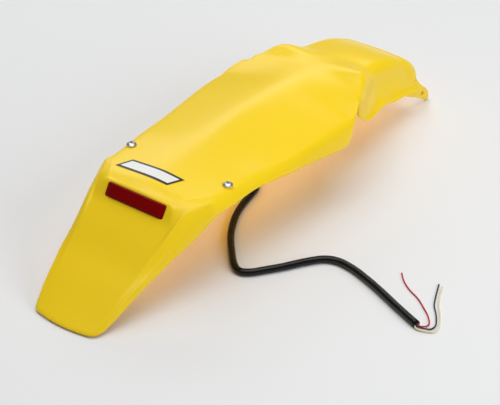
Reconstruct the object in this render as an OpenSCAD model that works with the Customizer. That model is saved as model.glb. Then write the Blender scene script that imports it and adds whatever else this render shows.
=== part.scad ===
// Motorcycle rear fender: one shell moulding with a tail light and its harness.
// +Y points to the front of the motorcycle, +X to its right side and +Z up.
// The origin lies on the ground under the middle of the fender.

/* [Fender] */
// overall length, tail edge to front feet
fender_length = 664; // [560:2:760]
// width over the side wings
fender_width = 212; // [190:2:240]
// height of the crest over the ground
crest_height = 119; // [105:1:135]
// moulding thickness
wall = 3; // [2.5:0.1:4]
// width of the under-seat channel
channel_width = 104; // [94:1:116]

/* [Tail light] */
// width of the lens window
lens_width = 84; // [70:1:90]
// height of the lens window along its sloping wall
lens_height = 17; // [14:0.5:17.5]
// gap around the lens in its window
lens_clearance = 0.3; // [0.2:0.1:0.6]
// depth of the lamp housing
housing_depth = 28; // [22:1:32]

/* [Fixings] */
// distance between the two top screws
screw_spacing = 142; // [130:1:148]
// thread diameter of the top screws
screw_d = 6; // [5:1:6]
// diametral clearance of every screw hole
screw_clearance = 0.6; // [0.4:0.1:1]
// hole diameter in the front feet
foot_hole_d = 6.6; // [5.5:0.1:8.5]

/* [Harness] */
// outside diameter of the harness sleeve
sleeve_d = 9; // [7:0.5:10]
// outside diameter of one wire
wire_d = 1.8; // [1.4:0.1:2.4]

/* [Hidden] */
$fn = 48;

yellow = [0.96, 0.80, 0.10];
black = [0.06, 0.06, 0.07];
red = [0.55, 0.03, 0.03];
steel = [0.75, 0.76, 0.78];
grey = [0.25, 0.25, 0.27];
green = [0.10, 0.30, 0.16];
white = [0.92, 0.92, 0.90];

seat_gap = 0.25;
eps = 0.01;
half_length = fender_length / 2;
wing_half = fender_width / 2;

// Outline curves of the shell. The first value is a fraction of the length.
// The second is a fraction of the wing half width, or of the crest height.
crest_line = [[0.221, 0.92], [0.334, 0.937], [0.428, 0.966], [0.52, 1], [0.60, 1], [0.70, 0.975],
              [0.78, 0.93], [0.86, 0.832], [0.907, 0.733], [0.956, 0.56]];
edge_line = [[0, 0.44], [0.024, 0.455], [0.083, 0.545], [0.1265, 0.6], [0.146, 0.612], [0.173, 0.668],
             [0.2, 0.712], [0.227, 0.752], [0.2575, 0.795], [0.295, 0.818], [0.33, 0.829], [0.367, 0.85],
             [0.431, 0.896], [0.517, 0.945], [0.605, 1], [1, 1]];
crease_line = [[0, 0.33], [0.04, 0.46], [0.083, 0.52], [0.115, 0.57], [0.145, 0.59], [0.176, 0.605],
               [0.205, 0.635], [0.25, 0.665], [0.319, 0.712], [0.37, 0.742], [0.431, 0.805],
               [0.506, 0.868], [0.56, 0.90], [0.62, 0.915], [1, 0.915]];
wing_front = [[0.619, 1], [0.638, 0.962], [0.658, 0.91], [0.678, 0.85], [0.69, 0.82], [0.705, 0.795]];
rim_drop = [[0.22, 0.135], [0.319, 0.112], [0.367, 0.081], [0.431, 0.09], [0.47, 0.112], [0.52, 0.15],
            [0.56, 0.18], [0.605, 0.205], [0.63, 0.21], [1, 0.21]];

// Tail flap curves along its own run, from the ground edge at 0 to the lamp wall at 1.
flap_rise = [[0, 0.031], [0.165, 0.134], [0.385, 0.286], [0.59, 0.42], [0.8, 0.60], [0.9, 0.68], [1, 0.745]];
flap_band = [[0, 0], [0.2, 0.05], [0.4, 0.06], [0.56, 0.06], [0.636, 0.095], [0.73, 0.1], [0.81, 0.135],
             [0.89, 0.165], [0.96, 0.15], [1, 0.125]];

// Sideways fall of the top from the crest to the side creases. It turns into a
// swell at the front of the wings and a valley ahead of them.
roof_line = [[0.221, 0.05], [0.319, 0.12], [0.37, 0.142], [0.431, 0.217], [0.506, 0.25], [0.60, 0.24],
             [0.638, 0.25], [0.678, 0.165], [0.696, 0.126], [0.721, 0.075], [0.735, -0.024],
             [0.7515, -0.095], [0.771, -0.024], [0.79, 0.147], [0.81, 0.13], [0.85, 0.06], [1, 0.05]];
roof_round = 12;
side_step = 4;
tail_arc = 14;
corner_round = 13;
ridge = 0.221 * fender_length;
ridge_sweep = 38;

// The lamp wall leans forward by this angle from upright.
lamp_tilt = 31;
lamp_setback = 10.75;
lamp_station = ridge - lamp_setback;
lamp_height = 0.817 * crest_height;
lamp_wall_half = 10.2;
foot_station = lamp_station - lamp_wall_half * sin(lamp_tilt);
foot_height = lamp_height - lamp_wall_half * cos(lamp_tilt);
lip_station = lamp_station + lamp_wall_half * sin(lamp_tilt);
lip_height = lamp_height + lamp_wall_half * cos(lamp_tilt);

// Smooth curve through a list of [position, value] points.
function span_of(p, s, i = 0) = (i >= len(p) - 2 || s < p[i + 1][0]) ? i : span_of(p, s, i + 1);
function slope_at(p, i) =
    let (a = max(i - 1, 0), b = min(i + 1, len(p) - 1)) (p[b][1] - p[a][1]) / (p[b][0] - p[a][0]);
function along(p, s) =
    let (i = span_of(p, s), h = p[i + 1][0] - p[i][0], t = clamp01((s - p[i][0]) / h),
         m0 = slope_at(p, i) * h, m1 = slope_at(p, i + 1) * h)
    p[i][1] * (2 * pow(t, 3) - 3 * pow(t, 2) + 1) + m0 * (pow(t, 3) - 2 * pow(t, 2) + t)
    + p[i + 1][1] * (3 * pow(t, 2) - 2 * pow(t, 3)) + m1 * (pow(t, 3) - pow(t, 2));
function clamp01(t) = min(1, max(0, t));
function smooth01(t) = let (c = clamp01(t)) c * c * (3 - 2 * c);
function unit(v) = v / norm(v);

// Height of the body's outer face at a station and a sideways distance.
function crest(s) = crest_height * along(crest_line, s / fender_length);
function crease(s) = wing_half * along(crease_line, s / fender_length);
function edge(s) = wing_half * along(edge_line, s / fender_length);
function wing_edge(s) =
    s <= wing_front[0][0] * fender_length ? edge(s) : wing_half * along(wing_front, s / fender_length);
function roof(s, x) =
    along(roof_line, s / fender_length) * (sqrt(x * x + roof_round * roof_round) - roof_round);
function body_z(s, x) =
    let (u = max(0, abs(x) - crease(s)) / (edge(s) - crease(s)))
    crest(s) - roof(s, x) - crest_height * along(rim_drop, s / fender_length) * pow(u, 1.2);

// Columns run across the shell from -1 to 1. The side crease lies at 0.7.
crease_column = 0.7;
half_columns = [0, 0.14, 0.27, 0.39, 0.49, 0.56, 0.60, 0.62, 0.645,
                0.67, 0.70, 0.74, 0.79, 0.85, 0.90, 0.95, 1];
columns = concat([for (i = [len(half_columns) - 1:-1:1]) -half_columns[i]], half_columns);
function sideways(v, c, w) =
    sign(v) * (abs(v) <= crease_column ? c * abs(v) / crease_column
                                       : c + (w - c) * (abs(v) - crease_column) / (1 - crease_column));

// The lamp wall is straight in the middle and its ridge sweeps forward at the sides.
sweep_start = 0.615;
sweep_end = 0.84;
function swept(v) = clamp01((abs(v) - sweep_start) / (sweep_end - sweep_start));
wall_margin = 17;
wall_flat = lens_width / 2 + wall_margin;
wall_blend = 4.5;
wall_step = 3.5;
function recess(v) = 1 - smooth01((abs(v) * crease(ridge) / crease_column - wall_flat) / wall_blend);
function ridge_station(v) = ridge + ridge_sweep * swept(v);
function wall_run(v) = wall_step + (ridge - foot_station - wall_step) * recess(v);

function flap_rise_z(t, v) =
    let (u = max(0, abs(v) - crease_column) / (1 - crease_column))
    crest_height * (along(flap_rise, t) - along(flap_band, t) * pow(u, 1.25));
function join_z(v) =
    body_point(ridge, v)[2] - side_step * (1 - smooth01((abs(v) - 0.66) / 0.2)) - 0.8;
function tail_corner(v) =
    let (u = max(0, abs(v) - crease_column) / (1 - crease_column))
    tail_arc * v * v * 0.6 + corner_round * (1 - sqrt(1 - u * u));
function flap_point(t, v) =
    let (base = ridge_station(v) - wall_run(v),
         s = tail_corner(v) * pow(1 - t, 3) + foot_station * t + (base - foot_station) * pow(t, 3),
         s_edge = tail_arc * pow(1 - t, 3) + foot_station * t
                  + (ridge + ridge_sweep - wall_step - foot_station) * pow(t, 3),
         x = sideways(v, crease(s), edge(s_edge)),
         lift = (join_z(v) - flap_rise_z(1, v)) * smooth01((t - 0.6) / 0.4) * (1 - recess(v)))
    [x, s, flap_rise_z(t, v) + lift];

function lip_point(f, v) =
    let (top = body_point(ridge, v), low = flap_point(1, v), r = recess(v),
         mid = [top[0], lip_station, lip_height],
         side = low + (top - low) * (0.35 + 0.4 * f),
         inner = mid + (top - mid) * f)
    side + (inner - side) * r;

function body_point(s0, v) =
    let (sweep = ridge_sweep * pow(max(0, 1 - (s0 - ridge) / 90), 1.5),
         s = s0 + sweep * swept(v), w = smooth01((s0 / fender_length - gather_from) / gather_run),
         spread = sideways(v, min(crease(s), wing_edge(s) * crease_column), wing_edge(s0 + sweep)),
         x = spread + (wing_edge(s0 + sweep) * gathered(v) - spread) * w)
    [x, s, body_z(s, x)];

// At the front of the wings the outer columns gather at the edge, where they turn
// down into the channel's side wall.
gather_from = 0.61;
gather_run = 0.08;
gather_side = 0.87;
function gathered(v) =
    sign(v) * (abs(v) <= arc_from ? gather_side * abs(v) / arc_from
                                  : gather_side + (1 - gather_side) * (abs(v) - arc_from) / (1 - arc_from));

flap_rows = [0, 0.05, 0.12, 0.2, 0.3, 0.4, 0.47, 0.5, 0.53, 0.56, 0.6, 0.66, 0.73, 0.8, 0.87, 0.94, 1];
lip_rows = [0, 0.55];
body_rows = [0, 0.008, 0.02, 0.034, 0.052, 0.074, 0.098, 0.125, 0.155, 0.188, 0.224, 0.26, 0.299,
             0.337, 0.37, 0.398, 0.412, 0.425, 0.441, 0.455, 0.469];

// Channel under the seat. Its section runs from the crest over a round shoulder,
// down the side wall and out along the rail at the foot of that wall.
wing_end = ridge + body_rows[len(body_rows) - 1] * fender_length;
channel_start = 0.703 * fender_length;
channel_end = 0.957 * fender_length;
channel_half = channel_width / 2;
shoulder_line = [[0.703, 1.63], [0.72, 1.54], [0.735, 1.452], [0.7515, 1.385], [0.771, 1.28], [0.79, 1.12],
                 [0.815, 1.05], [0.87, 1.06], [0.96, 1.09]];
shoulder_round_line = [[0.703, 6], [0.72, 7], [0.7515, 8], [0.771, 9], [0.79, 13], [0.82, 19], [0.96, 20]];
rail_drop = [[0.703, 0.64], [0.72, 0.56], [0.7353, 0.5], [0.751, 0.494], [0.7827, 0.488], [0.81, 0.486],
             [0.822, 0.468], [0.8494, 0.396], [0.8657, 0.396], [0.9056, 0.337], [0.96, 0.262]];
rail_line = [[0.703, 22], [0.7353, 22], [0.7827, 19], [0.817, 16], [0.8494, 14.5], [0.9056, 12],
             [0.96, 9.5]];
rail_out = 6;
rail_lip = 3.5;
arc_from = 0.56;
arc_to = 0.74;
rail_from = 0.95;
collar_length = 20;
collar_rise = 1.8;
function collar(s) = collar_rise * smooth01((s - channel_end + collar_length) / 3);
function shoulder(s) = channel_half * along(shoulder_line, s / fender_length) + collar(s);
function rail_side(s) = channel_half + along(rail_line, s / fender_length);
function rail_z(s) = crest_height * along(rail_drop, s / fender_length);
function top_z(s, x) = crest(s) - roof(s, x) + collar(s);

// One cross section: roof, round shoulder, side wall and rail.
function channel_point(s, v) =
    let (a = abs(v), side = shoulder(s), r = along(shoulder_round_line, s / fender_length),
         start = side - r, arc = 90 * clamp01((a - arc_from) / (arc_to - arc_from)),
         f = clamp01((a - arc_to) / (rail_from - arc_to)), g = clamp01((a - rail_from) / (1 - rail_from)),
         x = start * min(1, a / arc_from) + r * sin(arc)
             + (rail_side(s) - side) * pow(f, 1.6) + rail_out * g,
         knee = top_z(s, start) - r,
         z = a <= arc_from ? top_z(s, x)
                           : knee + r * cos(arc) - (knee - rail_z(s) - rail_lip) * f - rail_lip * g)
    [sign(v) * x, s, z];

// Between the wings and the channel the side wall grows out of the wings' front edge.
function notch_point(t, v) =
    let (from = body_point(wing_end, v), to = channel_point(channel_start, v)) from + (to - from) * t;
notch_rows = [0.5];
channel_rows = [0, 0.05, 0.10, 0.15, 0.21, 0.27, 0.33, 0.39, 0.46, 0.53, 0.60, 0.67, 0.74, 0.81, 0.88, 0.891,
                0.902, 0.95, 1];

shell_grid = concat(
    [for (t = flap_rows) [for (v = columns) flap_point(t, v)]],
    [for (f = lip_rows) [for (v = columns) lip_point(f, v)]],
    [for (b = body_rows) [for (v = columns) body_point(ridge + b * fender_length, v)]],
    [for (t = notch_rows) [for (v = columns) notch_point(t, v)]],
    [for (r = channel_rows) [for (v = columns)
        channel_point(channel_start + (channel_end - channel_start) * r, v)]]);

// Closed sheet of even thickness below a grid of outer points.
function grid_normal(g, i, j) =
    let (a = g[min(i + 1, len(g) - 1)][j] - g[max(i - 1, 0)][j],
         b = g[i][min(j + 1, len(g[0]) - 1)] - g[i][max(j - 1, 0)])
    unit(cross(b, a));
module sheet(g, t) {
    rows = len(g);
    cols = len(g[0]);
    count = rows * cols;
    outer = [for (i = [0:rows - 1]) for (j = [0:cols - 1]) g[i][j]];
    inner = [for (i = [0:rows - 1]) for (j = [0:cols - 1])
        let (p = g[i][j] - t * grid_normal(g, i, j)) [p[0], p[1], max(0, p[2])]];
    quads = [for (i = [0:rows - 2]) for (j = [0:cols - 2])
        let (a = i * cols + j) [a, a + 1, a + cols + 1, a + cols]];
    top_faces = [for (q = quads) each [[q[0], q[2], q[1]], [q[0], q[3], q[2]]]];
    low_faces = [for (q = quads) each [[q[0] + count, q[1] + count, q[2] + count],
                                       [q[0] + count, q[2] + count, q[3] + count]]];
    rim = concat([for (j = [0:cols - 1]) j],
                 [for (i = [1:rows - 1]) i * cols + cols - 1],
                 [for (j = [cols - 2:-1:0]) (rows - 1) * cols + j],
                 [for (i = [rows - 2:-1:1]) i * cols]);
    rim_faces = [for (k = [0:len(rim) - 1])
        let (a = rim[k], b = rim[(k + 1) % len(rim)])
        each [[a, b, b + count], [a, b + count, a + count]]];
    polyhedron(concat(outer, inner), concat(top_faces, low_faces, rim_faces), convexity = 8);
}

// Every module below is placed by these: stations become +Y distances from the middle.
module at_station(s) translate([0, s - half_length, 0]) children();
module at_lamp()
    at_station(lamp_station) translate([0, 0, lamp_height]) rotate([-lamp_tilt, 0, 0]) children();
module both_sides() {
    children();
    mirror([1, 0, 0]) children();
}

// Rounded slab in the lamp's frame, from depth d0 to depth d1.
module lamp_slab(w, h, r, d0, d1) {
    translate([0, d1, 0])
        rotate([90, 0, 0])
            linear_extrude(d1 - d0)
                offset(r)
                    square([w - 2 * r, h - 2 * r], center = true);
}

// Stack-up of the top screws, from the seat downwards.
screw_station = 0.323 * fender_length;
screw_x = screw_spacing / 2;
seat_height = body_z(screw_station, screw_x) + 0.2;
boss_r = screw_d + 0.8;
ear_r = 8;
boss_depth = 10;
ear_top = seat_height - boss_depth - seat_gap;
ear_thick = 4;
nut_room = 20;
washer_thick = 1.6;
washer_top = ear_top - ear_thick - seat_gap;
nut_height = 5;
nut_top = washer_top - washer_thick - seat_gap;
nut_across = 1.7 * screw_d;
head_r = screw_d;
screw_length = 25;
hole_r = (screw_d + screw_clearance) / 2;
module at_screws() both_sides() at_station(screw_station) translate([screw_x, 0, 0]) children();

// Front feet. Each outline point is a distance behind the front tip, then a height.
foot_side = channel_half + 5.5;
foot_thick = 3.5;
foot_boss = 6;
foot_boss_r = foot_hole_d / 2 + 4;
foot_hole_back = 17;
foot_hole_station = fender_length - foot_hole_back;
foot_hole_z = 16.5;
foot_outline = [[76, 41], [47, 25], [27, 14.5], [14, 6.5], [8, 1.5], [5, 0], [1.5, 0], [0, 3], [0.5, 9],
                [3, 15], [8, 21], [15, 26.5], [24, 35], [31, 44], [50, 47], [74, 46]];

module fender_body() color(yellow)
    difference() {
        union() {
            at_station(0) sheet(shell_grid, wall);
            at_screws() translate([0, 0, seat_height - boss_depth]) cylinder(r = boss_r, h = boss_depth);
            both_sides() foot();
        }
        at_lamp() lamp_slab(lens_width + 2 * lens_clearance, lens_height + 2 * lens_clearance,
                            3, -4, wall + 2);
        at_screws() translate([0, 0, seat_height - boss_depth - 1]) cylinder(r = hole_r, h = boss_depth + 8);
        at_screws() translate([0, 0, seat_height]) cylinder(r = boss_r, h = boss_depth);
        both_sides() at_station(foot_hole_station) translate([foot_side - foot_boss, 0, foot_hole_z])
            rotate([0, 90, 0]) cylinder(d = foot_hole_d, h = 3 * foot_boss);
    }

// Foot plate that carries the channel's side wall down to the ground.
module foot() {
    translate([foot_side, half_length, 0])
        rotate([90, 0, 90])
            linear_extrude(foot_thick) polygon([for (p = foot_outline) [-p[0], p[1]]]);
    at_station(foot_hole_station) translate([foot_side + foot_thick - foot_boss, 0, foot_hole_z])
        rotate([0, 90, 0]) cylinder(r = foot_boss_r, h = foot_boss);
}

// Lamp stack-up in depth behind the outer face of the lamp wall.
gasket_front = wall + seat_gap;
gasket_back = gasket_front + 1.8;
flange_front = gasket_back + 0.1;
flange_back = flange_front + 2;
housing_front = flange_back + 0.2;
housing_back = housing_front + housing_depth;
flange_margin = 3;
housing_width = lens_width + 8;
housing_height = lens_height + 4;
housing_wall = 2.4;
board_depth = housing_front + 0.62 * housing_depth;
board_thick = 1.6;
arm_root = [9, 12, 6];
gland_x = -15;
gland_r = sleeve_d / 2 + 2.5;
gland_length = 5;
gland_flange = 2.5;
gland_inside = 2;
gland_gap = 0.2;

module lamp_housing() color(black)
    difference() {
        union() {
            at_lamp() lamp_slab(housing_width, housing_height, 4, housing_front, housing_back);
            both_sides() lamp_arm();
        }
        at_lamp() lamp_slab(housing_width - 2 * housing_wall, housing_height - 2 * housing_wall, 2,
                            housing_front - 1, board_depth + board_thick + 4);
        at_lamp() translate([gland_x, board_depth, 0]) rotate([-90, 0, 0])
            cylinder(r = gland_r, h = housing_depth);
        at_screws() translate([0, 0, ear_top - ear_thick - 1]) cylinder(r = hole_r, h = ear_thick + 2);
        at_screws() translate([0, 0, ear_top - ear_thick - nut_room]) cylinder(r = ear_r, h = nut_room);
    }

// Arm from the housing's side to the ear under a top screw.
module lamp_arm() {
    hull() {
        at_lamp() translate([housing_width / 2 - arm_root[0] - 1, housing_back - arm_root[1] - 2, -2])
            cube(arm_root);
        at_station(screw_station) translate([screw_x, 0, ear_top - ear_thick])
            cylinder(r = ear_r, h = ear_thick, $fn = 32);
    }
}

module lens() color(red)
    at_lamp() {
        lamp_slab(lens_width, lens_height, 3, -0.6, flange_front + eps);
        lamp_slab(lens_width + 2 * flange_margin - 0.5, lens_height + 3, 3, flange_front, flange_back);
    }

module lens_gasket() color(grey)
    at_lamp() difference() {
        lamp_slab(lens_width + 2 * flange_margin, lens_height + 3, 3, gasket_front, gasket_back);
        lamp_slab(lens_width + 0.4, lens_height + 0.4, 3, gasket_front - 1, gasket_back + 1);
    }

module light_board() color(green)
    at_lamp() lamp_slab(housing_width - 2 * housing_wall - 0.5, housing_height - 2 * housing_wall - 0.5,
                        1.8, board_depth, board_depth + board_thick);

emitter_count = 8;
emitter_r = 2.5;
module light_emitters() color(white)
    at_lamp() for (k = [0:emitter_count - 1])
        translate([(k - (emitter_count - 1) / 2) * lens_width / (emitter_count + 0.5), board_depth - 0.1, 0])
            rotate([90, 0, 0]) cylinder(r = emitter_r, h = 5, $fn = 24);

module top_screws() color(steel)
    at_screws() translate([0, 0, seat_height]) {
        difference() {
            translate([0, 0, 0.1]) pan_head();
            translate([0, 0, 2.4]) cross_recess();
        }
        translate([0, 0, -screw_length]) cylinder(d = screw_d, h = screw_length + 1, $fn = 32);
    }
head_h = 0.68 * screw_d;
module pan_head()
    rotate_extrude($fn = 36)
        polygon([[0, 0], [head_r, 0], [head_r, 0.45 * head_h], [0.86 * head_r, 0.78 * head_h],
                 [0.55 * head_r, 0.97 * head_h], [0, head_h]]);
module cross_recess()
    for (a = [45, 135])
        rotate([0, 0, a]) translate([-0.5 * head_r, -0.6, 0]) cube([head_r, 1.2, head_h]);

module washers() color(steel)
    at_screws() translate([0, 0, washer_top - washer_thick])
        difference() {
            cylinder(r = screw_d, h = washer_thick);
            translate([0, 0, -1]) cylinder(d = screw_d + 0.4, h = washer_thick + 2);
        }

module lock_nuts() color(steel)
    at_screws() translate([0, 0, nut_top - nut_height])
        difference() {
            union() {
                cylinder(d = nut_across / cos(30), h = 0.75 * nut_height, $fn = 6);
                cylinder(d = 0.86 * nut_across, h = nut_height);
            }
            translate([0, 0, -1]) cylinder(d = screw_d + 0.2, h = nut_height + 2);
        }

module cable_grommet() color(black)
    at_lamp() translate([gland_x, housing_back, 0]) rotate([-90, 0, 0])
        difference() {
            union() {
                translate([0, 0, -housing_wall - gland_inside])
                    cylinder(r = gland_r - gland_gap, h = housing_wall + gland_inside + gland_gap + 0.1);
                translate([0, 0, gland_gap])
                    cylinder(r1 = gland_r + gland_flange, r2 = gland_r, h = gland_length);
            }
            translate([0, 0, -2 * gland_length]) cylinder(d = sleeve_d - 2, h = 4 * gland_length);
        }

// Harness route, in millimetres from the origin: out of the grommet, down to the
// ground under the fender, round one easy turn and out past the right edge.
gland_end = housing_back + gland_gap + gland_length + 0.1;
gland = [gland_x, lamp_station - half_length + gland_end * cos(lamp_tilt),
         lamp_height - gland_end * sin(lamp_tilt)];
ground = sleeve_d / 2 + 0.02;
sleeve_route = [gland, gland + [0, 13, -9], [-20, -114, 50], [-26, -92, 30], [-30, -70, 14],
                [-31, -47, ground + 1], [-29, -24, ground], [-25, 0, ground], [-16, 21, ground],
                [-2, 29, ground], [9, 20, ground], [14, 2, ground], [19, -22, ground],
                [29, -50, ground], [46, -80, ground], [66, -105, ground], [86, -126, ground],
                [99, -132, ground], [110, -126, ground], [121, -112, ground], [134, -94, ground],
                [148, -72, ground], [162, -55, ground], [178, -48, ground], [200, -50, ground],
                [226, -58, ground], [252, -68, ground], [280, -80, ground], [315, -94, ground]];

// One smooth step between two route points, for a rounder tube.
function blend(p, i, t) =
    let (a = p[max(i - 1, 0)], b = p[i], c = p[min(i + 1, len(p) - 1)], d = p[min(i + 2, len(p) - 1)])
    0.5 * (2 * b + (c - a) * t + (2 * a - 5 * b + 4 * c - d) * t * t + (3 * b - a - 3 * c + d) * pow(t, 3));
function halved(p) = concat([for (i = [0:len(p) - 2]) each [p[i], blend(p, i, 0.5)]], [p[len(p) - 1]]);
function heading(p, i) = unit(p[min(i + 1, len(p) - 1)] - p[max(i - 1, 0)]);

// Tube of given radius along a route; its ends are square to the first and last step.
module tube(p, r, sides) {
    n = len(p);
    rings = [for (i = [0:n - 1])
        let (h = heading(p, i), s = unit(cross(h, [0, 0, 1])), u = cross(s, h))
        for (k = [0:sides - 1]) let (a = 360 * (k + 0.5) / sides) p[i] + r * (cos(a) * s + sin(a) * u)];
    side_faces = [for (i = [0:n - 2]) for (k = [0:sides - 1])
        let (a = i * sides + k, b = i * sides + (k + 1) % sides)
        each [[a, b, b + sides], [a, b + sides, a + sides]]];
    ends = [[for (k = [sides - 1:-1:0]) k], [for (k = [0:sides - 1]) (n - 1) * sides + k]];
    polyhedron(rings, concat(side_faces, ends), convexity = 10);
}

module harness_sleeve() color(black) tube(halved(sleeve_route), sleeve_d / 2, 10);

sleeve_end = sleeve_route[len(sleeve_route) - 1];
end_heading = unit(sleeve_end - sleeve_route[len(sleeve_route) - 2]);
end_side = cross(end_heading, [0, 0, 1]);
wire_start = sleeve_end + 0.1 * end_heading;
wire_ground = wire_d / 2 + 0.02;
function wire_exit(side, up) = wire_start + side * end_side + [0, 0, up];
red_route = [wire_exit(-2, 0), wire_exit(-2, 0) + 4 * end_heading + [0, 0, -1],
             [324, -88, wire_ground + 1], [323, -80, wire_ground], [315, -70, wire_ground],
             [303, -60, wire_ground], [288, -49, wire_ground], [272, -41, wire_ground],
             [258, -31, wire_ground], [247, -19, wire_ground]];
black_route = [wire_exit(0.4, 1), wire_exit(0.4, 1) + 5 * end_heading + [0, 0, -1.5],
               [330, -90, wire_ground + 1], [331, -80, wire_ground], [326, -70, wire_ground],
               [319, -60, wire_ground], [310, -49, wire_ground], [302, -33, wire_ground],
               [293, -12, wire_ground]];
white_route = [wire_exit(2.4, -1.2), wire_exit(2.4, -1.2) + 6 * end_heading + [0, 0, -1],
               [335, -92, wire_ground + 0.5], [335.5, -81, wire_ground], [330.5, -70, wire_ground],
               [323, -58, wire_ground], [314, -46, wire_ground], [306, -31, wire_ground],
               [299, -14, wire_ground]];
module wire_red() color([0.75, 0.06, 0.05]) tube(halved(red_route), wire_d / 2, 8);
module wire_black() color(black) tube(halved(black_route), wire_d / 2, 8);
module wire_white() color(white) tube(halved(white_route), wire_d / 2, 8);

// Plain self-adhesive label that follows the body behind the ridge. Its ends slant
// and it sits a little to the left of the middle.
label_width = 76;
label_depth = 20.5;
label_slant = 9;
label_x = -13;
label_gap = 31;
label_station = ridge + label_gap;
label_lift = 0.5;
label_thick = 0.3;
label_steps = [-0.5:0.25:0.5];
module label() color(white)
    at_station(0) sheet([for (b = label_steps) [for (a = [-0.5:0.125:0.5])
        let (x = label_x + label_width * a + label_slant * b, s = label_station + label_depth * b)
        [x, s, body_z(s, x) + label_lift]]], label_thick);

fender_body();
lamp_housing();
lens();
lens_gasket();
light_board();
light_emitters();
top_screws();
washers();
lock_nuts();
cable_grommet();
harness_sleeve();
wire_red();
wire_black();
wire_white();
label();
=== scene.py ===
import math
import bmesh
import bpy
import numpy as np
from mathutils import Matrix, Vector


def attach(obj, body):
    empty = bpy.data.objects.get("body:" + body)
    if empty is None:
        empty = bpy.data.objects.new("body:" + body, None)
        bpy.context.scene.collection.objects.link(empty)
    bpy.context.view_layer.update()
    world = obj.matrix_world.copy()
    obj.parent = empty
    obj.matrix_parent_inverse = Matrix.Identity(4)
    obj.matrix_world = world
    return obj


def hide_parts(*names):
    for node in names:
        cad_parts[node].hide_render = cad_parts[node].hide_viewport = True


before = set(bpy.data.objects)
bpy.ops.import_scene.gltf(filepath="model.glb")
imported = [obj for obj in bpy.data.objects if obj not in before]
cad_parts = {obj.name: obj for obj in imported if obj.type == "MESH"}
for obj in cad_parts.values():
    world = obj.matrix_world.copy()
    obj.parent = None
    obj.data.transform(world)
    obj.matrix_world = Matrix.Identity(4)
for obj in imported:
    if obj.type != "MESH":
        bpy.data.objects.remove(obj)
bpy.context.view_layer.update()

# View
# The fender is seen from its right rear and from well above, through a long lens that
# keeps the perspective mild.
camera_data = bpy.data.cameras.new("view")
camera_data.sensor_width = 36
camera_data.lens = 134.64
camera_data.clip_end = 20
camera = bpy.data.objects.new("view", camera_data)
camera.location = (1.15207, -1.51558, 1.27269)
camera.rotation_euler = (math.radians(56.0), 0, math.radians(36.9))
bpy.context.scene.collection.objects.link(camera)
bpy.context.scene.camera = camera
bpy.context.scene.view_settings.view_transform = "Standard"

# Harness sleeve
# A flexible PVC sleeve, 9 mm across, carries three wires from the tail light.
# It leaves the grommet, drops to the ground and lies there in one loose turn.
MM = 0.001
sleeve_radius, floor_gap = 4.5, 0.02
ground = sleeve_radius + floor_gap
lamp_tilt = math.radians(31)
lamp_station, lamp_height = 135.994, 97.223
half_length = 332.0
housing_back, exit_reach, exit_side = 33.35, 5.3, -15.0
gland = Vector((exit_side,
                lamp_station - half_length + (housing_back + exit_reach) * math.cos(lamp_tilt),
                lamp_height - (housing_back + exit_reach) * math.sin(lamp_tilt)))
first_drop = Vector((0, 13, -9))
sleeve_route = [gland, gland + first_drop] + [Vector(p) for p in [
    (-20, -114, 50), (-26, -92, 30), (-30, -70, 14), (-31, -47, ground + 1), (-29, -24, ground),
    (-25, 0, ground), (-16, 21, ground), (-2, 29, ground), (9, 20, ground), (14, 2, ground),
    (19, -22, ground), (29, -50, ground), (46, -80, ground), (66, -105, ground),
    (86, -126, ground), (99, -132, ground), (110, -126, ground), (121, -112, ground),
    (134, -94, ground), (148, -72, ground), (162, -55, ground), (178, -48, ground),
    (200, -50, ground), (226, -58, ground), (252, -68, ground), (280, -80, ground),
    (315, -94, ground)]]


def eased_route(route, steps):
    """Catmull-Rom curve through the route's points."""
    out = []
    for i in range(len(route) - 1):
        a, b = route[max(i - 1, 0)], route[i]
        c, d = route[i + 1], route[min(i + 2, len(route) - 1)]
        for k in range(steps):
            t = k / steps
            out.append(0.5 * (2 * b + (c - a) * t + (2 * a - 5 * b + 4 * c - d) * t * t
                              + (3 * b - a - 3 * c + d) * t ** 3))
    return out + [route[-1]]


def lay_tube(name, route, radius, sides, steps=6):
    """A closed mesh tube along a route, with a UV map that runs along it.

    Returns the tube, the points of its middle line and its length, in metres.
    """
    path = eased_route(route, steps)
    mesh = bpy.data.meshes.new(name)
    bm = bmesh.new()
    uv = bm.loops.layers.uv.new("along")
    rings, run = [], [0.0]
    for a, b in zip(path, path[1:]):
        run.append(run[-1] + (b - a).length)
    for i, p in enumerate(path):
        heading = (path[min(i + 1, len(path) - 1)] - path[max(i - 1, 0)]).normalized()
        side = heading.cross(Vector((0, 0, 1))).normalized()
        up = side.cross(heading)
        turns = [2 * math.pi * k / sides for k in range(sides)]
        rings.append([bm.verts.new((p + radius * (math.cos(w) * side + math.sin(w) * up)) * MM)
                      for w in turns])
    for i in range(len(rings) - 1):
        for k in range(sides):
            n = (k + 1) % sides
            face = bm.faces.new((rings[i][k], rings[i][n], rings[i + 1][n], rings[i + 1][k]))
            face.smooth = True
            for loop, (u, v) in zip(face.loops, ((k, i), (k + 1, i), (k + 1, i + 1), (k, i + 1))):
                loop[uv].uv = (u / sides, run[v] * MM)
    bm.faces.new(reversed(rings[0]))
    bm.faces.new(rings[-1])
    bmesh.ops.recalc_face_normals(bm, faces=bm.faces)
    bm.to_mesh(mesh)
    bm.free()
    tube = bpy.data.objects.new(name, mesh)
    bpy.context.scene.collection.objects.link(tube)
    return tube, [p * MM for p in path], run[-1] * MM


def plain_shader(name, color, roughness):
    """A new material with one Principled shader, returned with its tree and shader."""
    material = bpy.data.materials.new(name)
    material.use_nodes = True
    tree = material.node_tree
    shader = tree.nodes["Principled BSDF"]
    shader.inputs["Base Color"].default_value = (*color, 1)
    shader.inputs["Roughness"].default_value = roughness
    return material, tree, shader


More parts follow.
